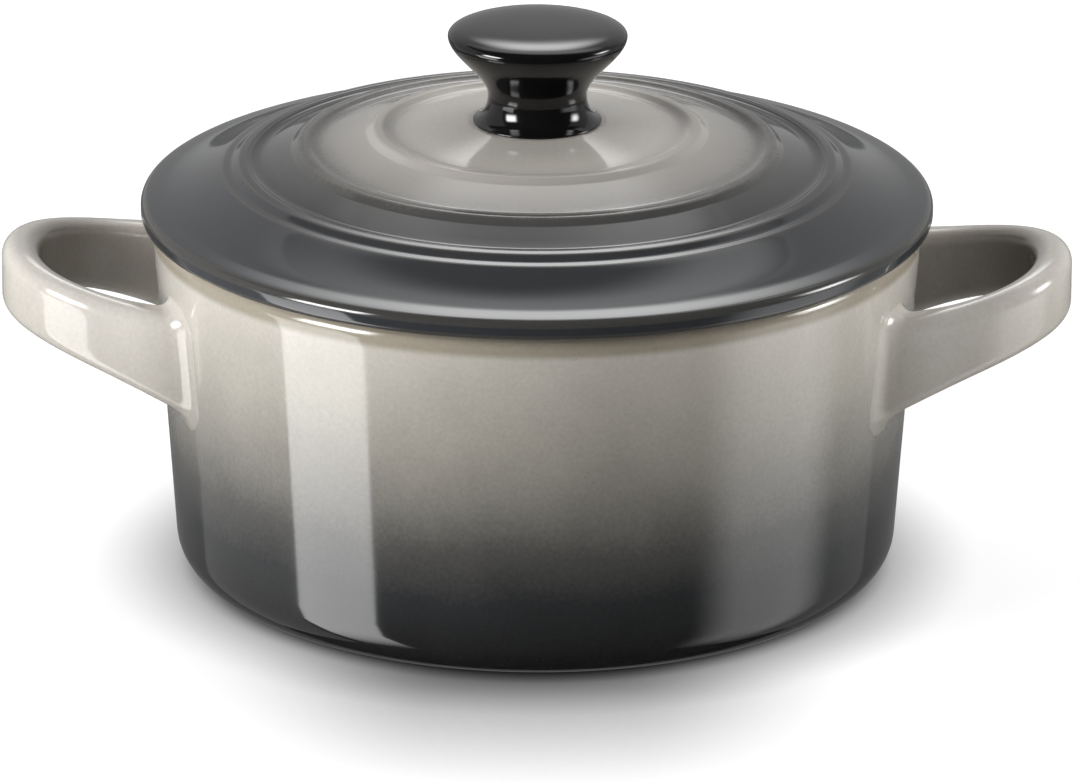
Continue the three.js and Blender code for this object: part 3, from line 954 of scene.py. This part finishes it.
def glazed(name, place_on_fall, stops, thin_and_lip_shadow, bare):
    """A gloss glaze over stoneware. place_on_fall gives the place on the fall of colour,
    thin_and_lip_shadow the share where the glaze has drawn thin, which on the pot also holds a
    band under the lip that is partly painted shadow of the lid, and bare the share of unglazed
    clay."""
    made, tree, shader, vector = material(name)
    skin = add(tree, "ShaderNodeGroup", {"Vector": vector}, node_tree=GLAZE_SKIN).outputs
    axis = axes(tree, vector)
    place = place_on_fall(tree, axis)
    wander = scaled(tree, skin["Wander"], GLAZE_WANDER * MM)
    place = summed(tree, place, attribute(tree, "lift"))
    colour = fall_ramp(tree, summed(tree, place, wander), stops)
    colour = mixed(tree, thin_and_lip_shadow(tree, axis), colour, THIN_GLAZE_AND_LIP_SHADOW)
    # Painted shade on the inner faces of the handles' loops
    colour = mixed(tree, attribute(tree, "painted_shade"), colour, PAINTED_SHADE_GLAZE)
    colour = mixed(tree, attribute(tree, "shown"), INNER_GLAZE, colour)
    colour = mixed(tree, 1.0, colour, grey(tree, skin["Tone"]), "MULTIPLY")
    clay = bare(tree, axis)
    colour = mixed(tree, clay, colour, BARE_CLAY)
    rough = summed(tree, skin["Roughness"], scaled(tree, clay, CLAY_ROUGHNESS))
    dressed(tree, shader, colour, rough, skin["Height"], GLAZE_WAVE_DEPTH)
    return made


def height_on(tree, axis):
    """Height above the base."""
    return axis["Z"]


def clay_below(tree, axis, clay, glaze):
    """Bare clay up to one height, which is glazed from another on."""
    return ranged(tree, axis["Z"], clay * MM, glaze * MM, 1.0, 0.0)


def foot_clay(tree, axis):
    return clay_below(tree, axis, FOOT_CLAY_HEIGHT, FOOT_GLAZE_HEIGHT)


def spigot_clay(tree, axis):
    low = LID_SEAT - SPIGOT_DEPTH
    return clay_below(tree, axis, low + SPIGOT_CLAY_HEIGHT, low + SPIGOT_GLAZE_HEIGHT)


def thin_glaze_and_lip_shadow(tree, axis):
    """Glaze drawn thin on rounded edges, and a band under the lip that is partly thin glaze and
    partly painted shadow of the lid's overhang.
    """
    band = ranged(tree, axis["Z"], (POT_HEIGHT - LIP_BAND_LOW) * MM,
                  (POT_HEIGHT - LIP_BAND_HIGH) * MM, 0.0, LIP_BAND_SHARE)
    edges = scaled(tree, attribute(tree, "thin"), POT_THIN_EDGES)
    return math_node(tree, "MAXIMUM", band, edges)


def thin_on_lid(tree, axis):
    """Glaze drawn a little thin on rounded edges."""
    return scaled(tree, attribute(tree, "thin"), LID_THIN_EDGES)


def knob_resin():
    """Polished black resin with faint smudges."""
    made, tree, shader, vector = material("knob_resin")
    smudge = noise(tree, vector, RESIN_SMUDGE_SIZE, detail=4.0)
    colour = mixed(tree, summed(tree, smudge, 0.5), RESIN_BLACK, RESIN_SMUDGE)
    rough = summed(tree, scaled(tree, smudge, RESIN_SMUDGE_ROUGHNESS), RESIN_ROUGHNESS)
    wave = noise(tree, vector, RESIN_WAVE_SIZE, detail=1.0)
    dressed(tree, shader, colour, rough, wave, RESIN_WAVE_DEPTH)
    return made


def turned_metal(name, metal):
    """Metal with lathe marks, dull in patches."""
    made, tree, shader, vector = material(name)
    marks = add(tree, "ShaderNodeGroup", {
        "Vector": vector, "Pitch": LATHE_PITCH * MM,
    }, node_tree=LATHE_MARKS).outputs
    tarnish = ranged(tree, noise(tree, vector, TARNISH_SIZE, detail=4.0), *TARNISH_EDGE)
    colour = mixed(tree, tarnish, metal.bright, metal.dull)
    shader.inputs["Metallic"].default_value = 1
    rough = summed(tree, scaled(tree, marks["Tone"], LATHE_ROUGHNESS), metal.roughness)
    dressed(tree, shader, colour, rough, marks["Height"], LATHE_DEPTH)
    return made


def cushion_silicone():
    """Matt grey silicone with a little dust."""
    made, tree, shader, vector = material("cushion_silicone")
    grain = noise(tree, vector, SILICONE_GRAIN_SIZE, detail=3.0)
    dust = ranged(tree, noise(tree, vector, DUST_SIZE, detail=3.0), *DUST_EDGE)
    colour = mixed(tree, dust, SILICONE_GREY, SILICONE_DUST)
    rough = summed(tree, scaled(tree, grain, SILICONE_GRAIN_ROUGHNESS), SILICONE_ROUGHNESS)
    dressed(tree, shader, colour, rough, grain, SILICONE_GRAIN_DEPTH)
    return made


# The pieces

TURNED = turned_tree()
GLAZE_SKIN = glaze_skin_group()
LATHE_MARKS = lathe_marks_group()


def knob_fixing():
    """Insert, screw and washers, each with its finish."""
    brass = turned_metal("insert_brass", BRASS)
    steel = turned_metal("fixing_steel", STEEL)
    silicone = cushion_silicone()
    form = insert_profile()
    insert = turned(
        "insert_knurled", form, brass, INSERT_RIBS * RIB_STEPS,
        ribbed=form[:, 0] > INSERT_RADIUS - ON_FACE,
        **{"Ribs": INSERT_RIBS, "Rib Depth": INSERT_RIB_DEPTH * MM},
    )
    form = screw_profile()
    on_shank = np.abs(form[:, 0] - SCREW_RADIUS) < ON_FACE
    screw = slotted(turned(
        "screw_slotted", form, steel, FIXING_SIDES,
        threaded=on_shank & (form[:, 1] > WASHER_HIGH),
        **{"Thread Pitch": SCREW_THREAD_PITCH * MM, "Thread Depth": SCREW_THREAD_DEPTH * MM},
    ))
    for piece in (insert, screw):
        piece.data.set_sharp_from_angle(angle=SHARP_EDGE)
    washer = turned("washer_turned", washer_profile(
        SCREW_HOLE_RADIUS, WASHER_RADIUS, WASHER_LOW, WASHER_HIGH, WASHER_ROUND,
    ), steel, FIXING_SIDES)
    cushion = turned("cushion_moulded", washer_profile(
        SCREW_HOLE_RADIUS, CUSHION_RADIUS, CUSHION_LOW, CUSHION_HIGH, CUSHION_ROUND,
    ), silicone, FIXING_SIDES)
    return insert, screw, washer, cushion


def casserole():
    """Every piece with its body, the solid that it stands for and its finish."""
    pot_finish = glazed("pot_glaze", height_on, POT_GLAZE_FALL, thin_glaze_and_lip_shadow, foot_clay)
    insert, screw, washer, cushion = knob_fixing()
    pot = turned("pot_glazed", pot_profile(), pot_finish, BODY_SIDES)
    lid_finish = glazed("lid_glaze", radius_on, LID_GLAZE_FALL, thin_on_lid, spigot_clay)
    lid = turned("lid_glazed", lid_profile(), lid_finish, BODY_SIDES)
    knob = turned("knob_polished", knob_profile(), knob_resin(), KNOB_SIDES)
    return (
        (pot, "pot", "pot_body", "pot_glaze"),
        (handle("right_handle_glazed", 1, pot_finish), "pot", "right_handle", "pot_glaze"),
        (handle("left_handle_glazed", -1, pot_finish), "pot", "left_handle", "pot_glaze"),
        (lid, "lid", "lid", "lid_glaze"),
        (knob, "knob", "lid_knob", "knob_resin"),
        (insert, "knob", "knob_insert", "insert_brass"),
        (screw, "knob", "knob_screw", "fixing_steel"),
        (washer, "knob", "screw_washer", "fixing_steel"),
        (cushion, "knob", "cushion_washer", "cushion_silicone"),
    )


for piece, body, node, finish in casserole():
    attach(piece, body)
    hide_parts(node)


# Studio, in metres

FLOOR_SIZE = 12
FLOOR_HEIGHT = -0.05 * MM
FLOOR_BOUNCE = 0.7
FLOOR_WHITE = 1.7
FLOOR_LIT_SHARE = 0.25
FLOOR_CONTACT = 0.012
FRONT_SHADOW = 0.04
FRONT_SHADOW_TILT = math.radians(45)
FRONT_SHADOW_NEAR = 0.028
FRONT_SHADOW_FULL = 0.05
FRONT_SHADOW_SIDE = 0.048
FRONT_SHADOW_MIDDLE = 0.012
SHADOW_SAMPLES = 24
AMBIENT = 0.1
# Watts that give an area lamp of one square metre a radiance of one
LAMP_WATTS = 4
KEY_PLACE = (0.05, 0.5, 1.0)
KEY_SIZE = (1.1, 0.9)
KEY_RADIANCE = 1.2

# Lamps, their bright middles and their images in the table. Azimuth is 0 in front and grows to
# the right. A feather, across and up, is how far a panel's edges fade.
Panel = namedtuple("Panel", "azimuth distance height size radiance feather", defaults=(None,))
TABLE_IMAGE_HEIGHT = -0.45
WINDOW = Panel(azimuth=-66, distance=0.9, height=0.32, size=(0.47, 0.6), radiance=9.5)
WINDOW_GLINT = Panel(azimuth=-60, distance=0.88, height=0.325, size=(0.47, 0.55), radiance=26,
                     feather=(0.11, 0.2))
WINDOW_ON_TABLE = Panel(azimuth=-66, distance=0.9, height=TABLE_IMAGE_HEIGHT, size=(0.47, 1.6),
                        radiance=5.6, feather=(0.01, 0.75))
WINDOW_LEAN = math.radians(10)
CARD = Panel(azimuth=94, distance=0.95, height=0.36, size=(0.85, 0.66), radiance=7.8,
             feather=(0.16, 0.16))
CARD_GLINT = Panel(azimuth=92, distance=0.9, height=0.325, size=(0.47, 0.55), radiance=18,
                   feather=(0.22, 0.24))
CARD_ON_TABLE = Panel(azimuth=80, distance=0.9, height=TABLE_IMAGE_HEIGHT, size=(1.0, 1.9),
                      radiance=1.9, feather=(0.36, 0.85))

# Lamps high at the back, turned to face the pot
HighPanel = namedtuple("HighPanel", "azimuth elevation distance size radiance feather")
BACK_LAMP = HighPanel(azimuth=180, elevation=42, distance=1.3, size=(0.62, 0.62), radiance=5.0,
                      feather=(0.26, 0.26))
BACK_GLOW = HighPanel(azimuth=172, elevation=59, distance=1.4, size=(2.2, 0.72), radiance=1.8,
                      feather=(0.95, 0.3))

# The dim room that the gloss mirrors: a backdrop, greys at the sides and black flags
ROOM_TOP = 1.6
ROOM_DEPTH = 2.2
ROOM_WIDTH = 6
BACKDROP_DISTANCE = 1.35
BACKDROP_WIDTH = 4
BACKDROP_SHADE = 0.52
TABLE_SHADE = 0.18
SIDE_DISTANCE = 1.5
SIDE_WIDTH = 2.2
SIDE_SETBACK = 0.9
LEFT_SHADE = 0.45
RIGHT_SHADE = 0.35
FLAG_SHADE = 0.02
FLAG_ABOVE_MIDDLE = -0.8
FLAG_ABOVE_DEPTH = 4.3
FLAG_FRONT_DISTANCE = 1.9
FLAG_FRONT_WIDTH = 3.2
FLAG_CORNER_AZIMUTH = 62
FLAG_CORNER_DISTANCE = 1.6
FLAG_CORNER_WIDTH = 2


def upright(azimuth, distance, height):
    """Place of an upright panel that faces the pot's axis, with its middle at a height."""
    angle = math.radians(azimuth)
    away = Vector((math.sin(angle), -math.cos(angle), 0))
    across = Vector((math.cos(angle), math.sin(angle), 0))
    middle = away * distance + Vector((0, 0, height))
    turn = Matrix((across, Vector((0, 0, 1)), away)).transposed().to_4x4()
    return Matrix.Translation(middle) @ turn


def standing(panel):
    """Place of a panel that stands upright."""
    return upright(panel.azimuth, panel.distance, panel.height)


def aimed(panel):
    """Place of a panel that faces the pot from its azimuth and elevation."""
    tilt = Matrix.Rotation(-math.radians(panel.elevation), 4, "X")
    return upright(panel.azimuth, 0, 0) @ tilt @ Matrix.Translation((0, 0, panel.distance))


def softbox(name, place, size, radiance):
    """An area lamp that shows in no gloss."""
    light = bpy.data.lights.new(name, "AREA")
    light.shape = "RECTANGLE"
    light.size, light.size_y = size
    light.energy = LAMP_WATTS * size[0] * size[1] * radiance
    made = new_object(name, light)
    made.matrix_world = place
    made.visible_glossy = False


def sheet(name, place, width, height, made_of, raised=0.0):
    """A flat sheet of the stage, raised above the middle of its place."""
    side = width / 2
    low = raised - height / 2
    high = raised + height / 2
    mesh = bpy.data.meshes.new(name)
    corners = [(-side, low, 0), (side, low, 0), (side, high, 0), (-side, high, 0)]
    mesh.from_pydata(corners, [], [(0, 1, 2, 3)])
    mesh.materials.append(made_of)
    made = new_object(name, mesh)
    made.matrix_world = place
    return made


def background_ray(tree):
    """1 where a ray looks at the background: from the camera, a gloss or a glass."""
    path = add(tree, "ShaderNodeLightPath").outputs
    mirrored = math_node(tree, "MAXIMUM", path["Is Glossy Ray"], path["Is Transmission Ray"])
    return math_node(tree, "MAXIMUM", path["Is Camera Ray"], mirrored)


def empty_material(name):
    """A new material and its tree, without nodes."""
    made = bpy.data.materials.new(name)
    made.use_nodes = True
    made.node_tree.nodes.clear()
    return made, made.node_tree


def blended(tree, share, first, second):
    """One shader with a share of a second."""
    return add(tree, "ShaderNodeMixShader", {0: share, 1: first, 2: second}).outputs[0]


def glow(name, radiance, size=None, feather=None):
    """Light from a sheet. With a feather it fades out to the edges of its size."""
    made, tree = empty_material(name)
    surface = add(tree, "ShaderNodeEmission", {"Strength": radiance}).outputs[0]
    if feather:
        place = axes(tree, own_place(tree))
        shares = []
        for axis, length, fade in zip("XY", size, feather):
            aside = math_node(tree, "ABSOLUTE", place[axis])
            shares.append(ranged(tree, aside, length / 2 - fade, length / 2, 1.0, 0.0))
        clear = add(tree, "ShaderNodeBsdfTransparent").outputs[0]
        surface = blended(tree, scaled(tree, *shares), clear, surface)
    add(tree, "ShaderNodeOutputMaterial", {"Surface": surface})
    return made


def floor_white():
    """Matt white floor. The camera sees it lifted to the backdrop's white, with the shadow that
    the lamps cast and a painted shadow round the pot's foot, deepest in front."""
    made, tree = empty_material("floor_white")
    towards_back = add(tree, "ShaderNodeCombineXYZ", {
        "Y": math.sin(FRONT_SHADOW_TILT), "Z": math.cos(FRONT_SHADOW_TILT)}).outputs[0]
    shadow = add(tree, "ShaderNodeAmbientOcclusion", {
        "Distance": FRONT_SHADOW, "Normal": towards_back,
    }, samples=SHADOW_SAMPLES).outputs["AO"]
    place = axes(tree, own_place(tree))
    in_front = ranged(tree, place["Y"], -FRONT_SHADOW_FULL, -FRONT_SHADOW_NEAR, 1.0, 0.0)
    in_middle = ranged(tree, math_node(tree, "ABSOLUTE", place["X"]),
                       FRONT_SHADOW_MIDDLE, FRONT_SHADOW_SIDE, 1.0, 0.0)
    share = scaled(tree, in_front, in_middle)
    front = add(tree, "ShaderNodeMix", {0: share, 2: 1.0, 3: shadow}).outputs[0]
    near = add(tree, "ShaderNodeAmbientOcclusion", {
        "Distance": FLOOR_CONTACT,
    }, samples=SHADOW_SAMPLES).outputs["AO"]
    contact = scaled(tree, near, front)
    lit_colour = grey(tree, scaled(tree, contact, FLOOR_WHITE))
    lit, bounce = (
        add(tree, "ShaderNodeBsdfDiffuse", {"Color": colour}).outputs[0]
        for colour in (lit_colour, (*[FLOOR_BOUNCE] * 3, 1)))
    white = add(tree, "ShaderNodeEmission", {"Strength": contact}).outputs[0]
    shown = blended(tree, FLOOR_LIT_SHARE, white, lit)
    surface = blended(tree, background_ray(tree), bounce, shown)
    add(tree, "ShaderNodeOutputMaterial", {"Surface": surface})
    return made


def lamps():
    """A window on the left, a soft card on the right and a key above and behind. None of them
    shows in the gloss."""
    softbox("window_light", standing(WINDOW), WINDOW.size, WINDOW.radiance)
    card_glow = glow("card_glow", CARD.radiance, CARD.size, CARD.feather)
    card = sheet("bounce_card", standing(CARD), *CARD.size, card_glow)
    card.visible_camera = False
    card.visible_glossy = False
    softbox("key_light", Matrix.Translation(KEY_PLACE), KEY_SIZE, KEY_RADIANCE)


def shining(name, panel, place):
    """A panel as a sheet that shines."""
    return sheet(name, place, *panel.size, glow(name, panel.radiance, panel.size, panel.feather))


def on_table(name, panel, place):
    """A lamp's image in the table, on a sheet that reaches down through the room's depth."""
    light = glow(name, panel.radiance, panel.size, panel.feather)
    return sheet(name, place, panel.size[0], ROOM_DEPTH, light, -ROOM_DEPTH / 2 - panel.height)


def bright_reflections():
    """What shines in the gloss: the bright middles of the window and the card, their images in
    the table, and a lamp and a wide glow high at the back."""
    leaning = standing(WINDOW_ON_TABLE) @ Matrix.Rotation(WINDOW_LEAN, 4, "Z")
    return [
        shining("window_glint", WINDOW_GLINT, standing(WINDOW_GLINT)),
        shining("card_glint", CARD_GLINT, standing(CARD_GLINT)),
        on_table("window_on_table", WINDOW_ON_TABLE, leaning),
        on_table("card_on_table", CARD_ON_TABLE, standing(CARD_ON_TABLE)),
        shining("back_lamp", BACK_LAMP, aimed(BACK_LAMP)),
        shining("back_glow", BACK_GLOW, aimed(BACK_GLOW)),
    ]


def dim_reflections():
    """A grey backdrop, its image in the table, greys at the sides and black flags elsewhere."""
    dark = glow("flag_dark", FLAG_SHADE)
    backdrop_grey = glow("backdrop_grey", BACKDROP_SHADE)
    table_grey = glow("table_grey", TABLE_SHADE)
    full_height = ROOM_DEPTH + ROOM_TOP

    def full(azimuth, distance):
        return upright(azimuth, distance, (ROOM_TOP - ROOM_DEPTH) / 2)

    backdrop = upright(180, BACKDROP_DISTANCE, ROOM_TOP / 2)
    mirrored_backdrop = upright(180, BACKDROP_DISTANCE, -ROOM_DEPTH / 2)
    above = Matrix.Translation((0, FLAG_ABOVE_MIDDLE, ROOM_TOP))
    below = Matrix.Translation((0, 0, -ROOM_DEPTH))
    front = full(0, FLAG_FRONT_DISTANCE)
    front_left = full(-FLAG_CORNER_AZIMUTH, FLAG_CORNER_DISTANCE)
    front_right = full(FLAG_CORNER_AZIMUTH, FLAG_CORNER_DISTANCE)
    left = full(-90, SIDE_DISTANCE) @ Matrix.Translation((-SIDE_SETBACK, 0, 0))
    right = full(90, SIDE_DISTANCE) @ Matrix.Translation((SIDE_SETBACK, 0, 0))
    return [
        sheet("backdrop", backdrop, BACKDROP_WIDTH, ROOM_TOP, backdrop_grey),
        sheet("backdrop_on_table", mirrored_backdrop, BACKDROP_WIDTH, ROOM_DEPTH, table_grey),
        sheet("flag_above", above, ROOM_WIDTH, FLAG_ABOVE_DEPTH, dark),
        sheet("flag_below", below, ROOM_WIDTH, ROOM_WIDTH, dark),
        sheet("flag_front", front, FLAG_FRONT_WIDTH, full_height, dark),
        sheet("flag_front_left", front_left, FLAG_CORNER_WIDTH, full_height, dark),
        sheet("flag_front_right", front_right, FLAG_CORNER_WIDTH, full_height, dark),
        sheet("side_left", left, SIDE_WIDTH, full_height, glow("left_grey", LEFT_SHADE)),
        sheet("side_right", right, SIDE_WIDTH, full_height, glow("right_grey", RIGHT_SHADE)),
    ]


def reflections():
    """Sheets that show in the gloss alone. They are not seen and light nothing else."""
    for made in bright_reflections() + dim_reflections():
        made.visible_camera = False
        made.visible_diffuse = False
        made.visible_shadow = False


def studio():
    """The floor, the lamps and what the gloss mirrors."""
    place = Matrix.Translation((0, 0, FLOOR_HEIGHT))
    floor = sheet("floor", place, FLOOR_SIZE, FLOOR_SIZE, floor_white())
    floor.visible_glossy = False
    lamps()
    reflections()


def surroundings():
    """White backdrop for what is seen and reflected, and a softer light from all round."""
    world = bpy.data.worlds.new("white_room")
    bpy.context.scene.world = world
    world.use_nodes = True
    tree = world.node_tree
    tree.nodes.clear()
    white = (1, 1, 1, 1)
    around, seen = (
        add(tree, "ShaderNodeBackground", {"Color": white, "Strength": strength}).outputs[0]
        for strength in (AMBIENT, 1.0))
    surface = blended(tree, background_ray(tree), around, seen)
    add(tree, "ShaderNodeOutputWorld", {"Surface": surface})


def camera():
    """The photograph's camera."""
    lens = bpy.data.cameras.new("camera")
    lens.lens = CAMERA_LENS
    lens.sensor_width = CAMERA_SENSOR
    lens.sensor_fit = "HORIZONTAL"
    lens.clip_start, lens.clip_end = CAMERA_CLIP
    level = math.cos(CAMERA_ELEVATION)
    reach = Vector((
        level * math.sin(CAMERA_AZIMUTH),
        -level * math.cos(CAMERA_AZIMUTH),
        math.sin(CAMERA_ELEVATION),
    ))
    place = Vector((0, 0, CAMERA_TARGET.z)) + reach * CAMERA_DISTANCE
    forward = (CAMERA_TARGET - place).normalized()
    right = forward.cross(Vector((0, 0, 1))).normalized()
    turn = Matrix((right, right.cross(forward), -forward)).transposed()
    turn = turn @ Matrix.Rotation(CAMERA_ROLL, 3, "Z")
    made = new_object("camera", lens)
    made.matrix_world = Matrix.Translation(place) @ turn.to_4x4()
    bpy.context.scene.camera = made


studio()
surroundings()
camera()
bpy.context.scene.view_settings.view_transform = "Standard"
